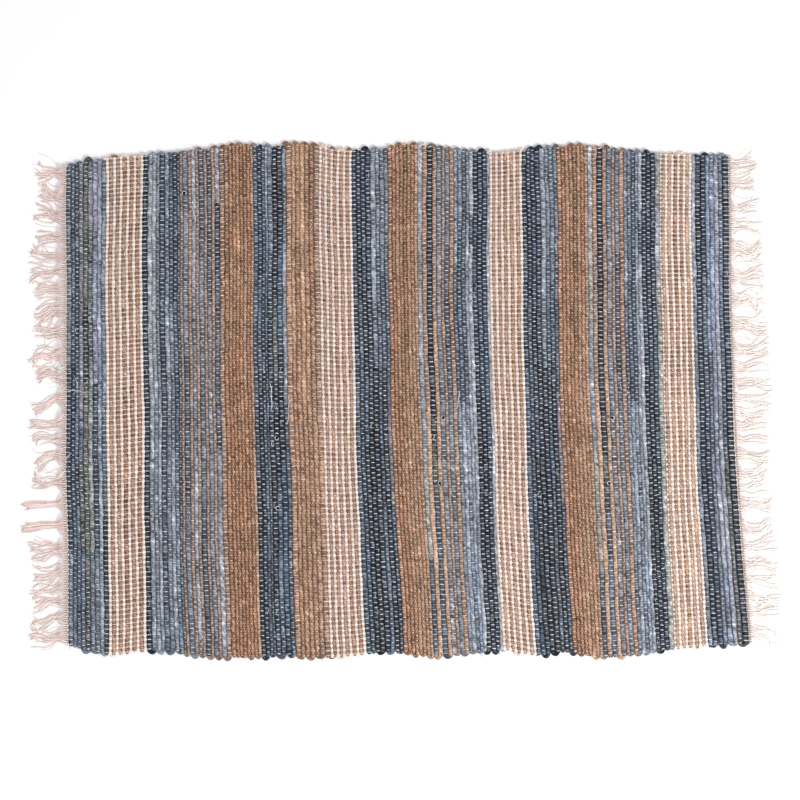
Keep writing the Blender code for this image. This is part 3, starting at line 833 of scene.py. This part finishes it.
# Where a strip is tied to the next one: the knot's place, and its own tone
knots = [
    (47.6, -20.2, "#1b2230"), (44.0, -97.6, "#22231f"), (39.5, -22.5, "#3b352c"), (248.7, -20.2, "#1b2230"),
    (245.0, -97.6, "#22231f"), (-297.5, 110.7, "#c9ccd0"), (-150.0, -44.0, "#1a1c22"),
    (-148.8, -127.3, "#1a1c22"), (-260.0, 247.0, "#15171c"),
]
# Loose white threads on top: where each starts and ends, and how far it bows sideways
strays = [
    (-420.1, 15.5, -374.9, 6.0, 4.0), (-402.3, 165.4, -393.9, 173.8, 0.6),
    (-401.1, -70.2, -393.9, -61.9, 0.6), (-158.3, 21.4, -157.0, -10.7, 1.6),
    (-136.9, 7.2, -138.5, -28.6, 2.0), (-252.0, 232.0, -247.0, 214.0, 1.2),
    (66.0, 12.0, 63.0, -9.0, 1.5), (-60.0, 45.0, -64.0, 20.0, 2.2), (-331.0, 172.0, -324.0, 188.0, 1.4),
]
knotLook = {
    "half": 1.7,                # half the knot's width
    "ring": 2.3,                # radius of the pale thread round it
    "thread": 0.36,
    "white": "#e9eaea",
}


def buildKnots(name, materials):
    # a dark tuck of rag, lying along its weft and tapered at both ends
    at = np.array([k[:2] for k in knots]) + (moveX, 0)
    steps = np.linspace(-1, 1, 7)
    paths = np.empty((len(knots), len(steps), 3))
    paths[..., 0] = at[:, :1] + 0.4 * steps
    paths[..., 1] = at[:, 1:] + 1.25 * knotLook["half"] * steps
    paths[..., 2] = weave["centreZ"] + 1.4
    girth = knotLook["half"] * np.sqrt(np.maximum(1 - steps ** 2, 0.03)) * np.ones((len(knots), 1))
    tone = np.array([fromHex(k[2]) for k in knots])
    mottle = np.exp(0.3 * chance.standard_normal((len(knots), len(steps), 8, 1)))
    return buildThreads(name, paths, girth, girth, 8, tone[:, None, None, :] * mottle, materials)


def buildStrays(name, material):
    steps = 10
    t = np.linspace(0, 1, steps + 1)
    paths = []
    for x0, y0, x1, y1, bow in strays:
        length = math.hypot(x1 - x0, y1 - y0)
        aside = np.array([-(y1 - y0), x1 - x0]) / length * bow
        sway = np.sin(math.pi * t) + 0.4 * np.sin(3 * math.pi * t)
        paths.append(np.stack([x0 + (x1 - x0) * t + aside[0] * sway,
                               y0 + (y1 - y0) * t + aside[1] * sway], axis=1))
    for x, y, _ in knots:
        # the ring stays open, like a loop pulled round the knot
        turn = np.linspace(0.6, 5.2, steps + 1) + chance.uniform(0, 6.3)
        paths.append(np.stack([x + knotLook["ring"] * np.cos(turn),
                               y + knotLook["ring"] * np.sin(turn)], axis=1))
    flat = np.array(paths)
    raised = np.empty((len(flat), steps + 1, 3))
    raised[..., :2] = flat + (moveX, 0)
    raised[..., 2] = weave["centreZ"] + 2.2 + 0.25 * smoothNoise(len(flat), steps + 1, 2)
    thick = knotLook["thread"] * np.ones((len(flat), 1)) * np.append(np.ones(steps), 0.4)
    tint = fromHex(knotLook["white"]) * np.exp(0.08 * chance.standard_normal((len(flat), 1, 1, 1)))
    return buildThreads(name, raised, thick, thick, 6, tint, [material])


def addNode(tree, kind, links=(), **settings):
    # adds a node, sets its values by name or socket, and links (socket, source) pairs
    node = tree.nodes.new(kind)
    for key, value in settings.items():
        if hasattr(node, key):
            setattr(node, key, value)
        else:
            node.inputs[key.replace("_", " ")].default_value = value
    for socket, source in links:
        tree.links.new(source, node.inputs[socket])
    return node


def yarnMaterial(name, look):
    # shared by every yarn: its own colour, streaks along the strip, pale fibres and lint
    material = bpy.data.materials.new(name)
    material.use_nodes = True
    tree = material.node_tree
    shader = tree.nodes["Principled BSDF"]
    constants = {"Roughness": look["roughness"], "IOR": 1.53, "Specular IOR Level": 0.2,
                 "Sheen Weight": look["sheen"], "Sheen Roughness": 0.6}
    for socket, value in constants.items():
        shader.inputs[socket].default_value = value
    tint = addNode(tree, "ShaderNodeAttribute", attribute_name="yarnColour").outputs["Color"]
    place = addNode(tree, "ShaderNodeUVMap", uv_map="yarnMap").outputs["UV"]

    def mapped(**settings):
        return addNode(tree, "ShaderNodeMapping", [("Vector", place)], **settings).outputs["Vector"]

    def noise(vector, **settings):
        return addNode(tree, "ShaderNodeTexNoise", [("Vector", vector)], Scale=1.0, **settings).outputs["Fac"]

    def ranged(value, **settings):
        return addNode(tree, "ShaderNodeMapRange", [("Value", value)], **settings).outputs["Result"]

    def shaded(colour, shade):
        return addNode(tree, "ShaderNodeVectorMath", [(0, colour), (1, shade)],
                       operation="MULTIPLY").outputs["Vector"]

    streak = noise(mapped(Scale=look["streakScale"]), Detail=3.0, Roughness=0.6)
    colour = shaded(tint, ranged(streak, From_Min=0.3, From_Max=0.7,
                                 To_Min=1 - look["streaks"], To_Max=1 + look["streaks"]))
    ply = addNode(tree, "ShaderNodeTexWave", [("Vector", mapped(Rotation=(0, 0, look["twist"])))],
                  Scale=look["plyScale"], Distortion=1.4, Detail=1.0).outputs["Fac"]
    colour = shaded(colour, ranged(ply, To_Min=1 - look["plies"], To_Max=1 + look["plies"] * 0.6))
    # fibre ends and dirt are finer than this, but would not show
    lint = noise(mapped(Scale=look["fleckScale"]), Detail=2.0, Roughness=0.7)
    colour = shaded(colour, ranged(lint, From_Min=0.32, From_Max=0.45, To_Min=1 - look["specks"], To_Max=1.0))
    pale = ranged(lint, From_Min=0.56, From_Max=0.70, To_Min=0.0, To_Max=look["lint"])
    # dark strips are less worn, so less of their pale core shows
    bright = addNode(tree, "ShaderNodeRGBToBW", [("Color", tint)]).outputs["Val"]
    showing = ranged(bright, From_Max=0.25, To_Min=look["darkLint"], To_Max=1.0)
    faded = addNode(tree, "ShaderNodeMath", [(0, pale), (1, showing)], operation="MULTIPLY").outputs[0]
    mixed = addNode(tree, "ShaderNodeMix", [("Factor", faded), (6, colour)], data_type="RGBA")
    mixed.inputs[7].default_value = (*fromHex(look["lintTone"]), 1)
    tree.links.new(mixed.outputs[2], shader.inputs["Base Color"])
    relief = addNode(tree, "ShaderNodeMath", [(0, ply), (1, lint)], operation="ADD").outputs[0]
    rough = addNode(tree, "ShaderNodeBump", [("Height", relief)], Strength=look["bump"], Distance=0.0004)
    tree.links.new(rough.outputs["Normal"], shader.inputs["Normal"])
    return material


# Torn strips of indigo twill: slanting twill lines and white weft flecks, worn to pale streaks.
# The twill's real 0.5 mm is drawn at about 1.1 mm so that it shows.
denimRag = yarnMaterial("torn_denim_twill", {
    "roughness": 0.88, "sheen": 0.03, "streakScale": (0.9, 0.12, 1), "streaks": 0.36, "twist": 0.5,
    "plyScale": 0.28, "plies": 0.16, "fleckScale": (0.6, 0.45, 1), "specks": 0.60, "lint": 0.50,
    "lintTone": "#ccd2da", "darkLint": 0.12, "bump": 0.7})
# Coarse jute, two plies twisted: dry golden-brown fibres that slant round the yarn
juteYarn = yarnMaterial("plied_jute_yarn", {
    "roughness": 0.84, "sheen": 0.03, "streakScale": (1.2, 0.25, 1), "streaks": 0.32, "twist": 0.95,
    "plyScale": 0.075, "plies": 0.14, "fleckScale": (0.6, 0.4, 1), "specks": 0.55, "lint": 0.40,
    "lintTone": "#e3c5ac", "darkLint": 0.6, "bump": 0.9})
# Bleached cotton roving, soft and nearly white
creamCotton = yarnMaterial("bleached_cotton_roving", {
    "roughness": 0.88, "sheen": 0.08, "streakScale": (0.8, 0.3, 1), "streaks": 0.08, "twist": 0.9,
    "plyScale": 0.11, "plies": 0.08, "fleckScale": (0.8, 0.4, 1), "specks": 0.12, "lint": 0.25,
    "lintTone": "#fffaf5", "darkLint": 1.0, "bump": 0.6})
# Unbleached cotton warp, hard-spun in two plies
warpCotton = yarnMaterial("unbleached_cotton_warp", {
    "roughness": 0.85, "sheen": 0.06, "streakScale": (1.0, 0.4, 1), "streaks": 0.12, "twist": 0.8,
    "plyScale": 0.3, "plies": 0.12, "fleckScale": (0.9, 0.5, 1), "specks": 0.14, "lint": 0.18,
    "lintTone": "#fff6f0", "darkLint": 1.0, "bump": 0.5})
# The same cotton past the cloth: untwisted by use, so softer, with fainter streaks and plies
looseCotton = yarnMaterial("loose_cotton_ends", {
    "roughness": 0.88, "sheen": 0.10, "streakScale": (1.0, 0.4, 1), "streaks": 0.08, "twist": 0.8,
    "plyScale": 0.3, "plies": 0.08, "fleckScale": (0.9, 0.5, 1), "specks": 0.08, "lint": 0.18,
    "lintTone": "#fff6f0", "darkLint": 1.0, "bump": 0.3})
print("materials ready")

# Wefts, a few bands to a piece
wovenYarns = [denimRag, juteYarn, creamCotton]
weaveCuts = [41, 76, 108, 140]      # the wefts at which one joined mesh ends and the next begins
cuts = [0, picks, *weaveCuts, weftCount - picks, weftCount]
names = ["heading_left", "weave_left", "weave_inner_left", "weave_middle", "weave_inner_right",
         "weave_right", "heading_right"]
woven = {}
for name, low, high in zip(names, cuts, cuts[1:]):
    woven[name] = buildWefts(name, low, high, wovenYarns)
half = weftCount // 2
overs = [buildStitches("warps_over_left", 0, half, warpCotton, False),
         buildStitches("warps_over_right", half, weftCount, warpCotton, False)]
unders = buildStitches("warps_under", 0, weftCount, warpCotton, True)
turns = [buildTurns("turns_top", picks, False, wovenYarns),
         buildTurns("turns_bottom", picks + 1, True, wovenYarns)]
tassels = {}
fringes = [("left", -1, outerLeft, tasselsLeft), ("right", 1, outerRight, tasselsRight)]
for side, way, edgeX, rows in fringes:
    tone = fringeLook[side]
    name = "tassels_" + side
    ends, paths = buildTassels(name, way, edgeX, rows, tone, "ends", looseCotton)
    plies, _ = buildTassels(name, way, edgeX, rows, tone, "plies", looseCotton)
    tassels[side] = [ends, plies, buildTips(name + "_tips", paths, tone, looseCotton)]
frays = [buildFrays("frays_denim", "denim", [denimRag]), buildFrays("frays_jute", "jute", [juteYarn])]
ties = [buildKnots("rag_knots", [denimRag]), buildStrays("stray_threads", warpCotton)]
print("yarns laid")

for name, (piece, flat) in woven.items():
    if name.startswith("heading"):
        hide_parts("fringe_" + name.split("_")[1])
    else:
        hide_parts("woven_body")
for side, pieces in tassels.items():
    for piece in pieces:
        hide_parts("fringe_" + side)

# Floor, light and camera
photo = {
    "pixel": 1.19,                  # mm of floor in one picture element
    "centre": (-3.6, 1.2),          # where the picture's centre lies
    "lens": 100.0,
    "sensor": 36.0,
    "side": 800,
}
floorMesh = bpy.data.meshes.new("floor")
floorLook = {"half": 4.0, "height": -0.0003, "colour": "#fcfcfc", "roughness": 0.9}      # metres
floorCorners = [(x * floorLook["half"], y * floorLook["half"], floorLook["height"])
                for x, y in [(-1, -1), (1, -1), (1, 1), (-1, 1)]]
floorMesh.from_pydata(floorCorners, [], [(0, 1, 2, 3)])
floor = addObject("floor", floorMesh)
paint = bpy.data.materials.new("pale_floor_paint")
paint.use_nodes = True
paintShader = paint.node_tree.nodes["Principled BSDF"]
paintShader.inputs["Base Color"].default_value = (*fromHex(floorLook["colour"]), 1)
paintShader.inputs["Roughness"].default_value = floorLook["roughness"]
floorMesh.materials.append(paint)

cameraData = bpy.data.cameras.new("camera")
cameraData.lens = photo["lens"]
cameraData.sensor_width = photo["sensor"]
distance = photo["side"] * photo["pixel"] * mm * photo["lens"] / photo["sensor"]
camera = addObject("camera", cameraData)
camera.location = ((photo["centre"][0] + moveX) * mm, photo["centre"][1] * mm, distance)
bpy.context.scene.camera = camera


def softLight(name, place, size, power):
    data = bpy.data.lights.new(name, "AREA")
    data.size = size
    data.energy = power
    lamp = addObject(name, data)
    lamp.location = place
    direction = -np.array(place)
    flatLength = math.hypot(direction[0], direction[1])
    lamp.rotation_euler = (math.atan2(flatLength, -direction[2]), 0,
                           math.atan2(direction[1], direction[0]) - math.pi / 2)


lightLook = {
    "place": (1.6, -1.5, 1.9),      # metres from the rug's middle
    "size": 0.9,
    "power": 60,
    "room": (0.98, 0.98, 0.995),    # pale walls send light from all round
    "roomPower": 0.75,
}
softLight("window", lightLook["place"], lightLook["size"], lightLook["power"])
world = bpy.data.worlds.new("room")
bpy.context.scene.world = world
world.use_nodes = True
world.node_tree.nodes["Background"].inputs["Color"].default_value = (*lightLook["room"], 1)
world.node_tree.nodes["Background"].inputs["Strength"].default_value = lightLook["roomPower"]
bpy.context.scene.view_settings.view_transform = "Standard"
print("camera and lights placed")
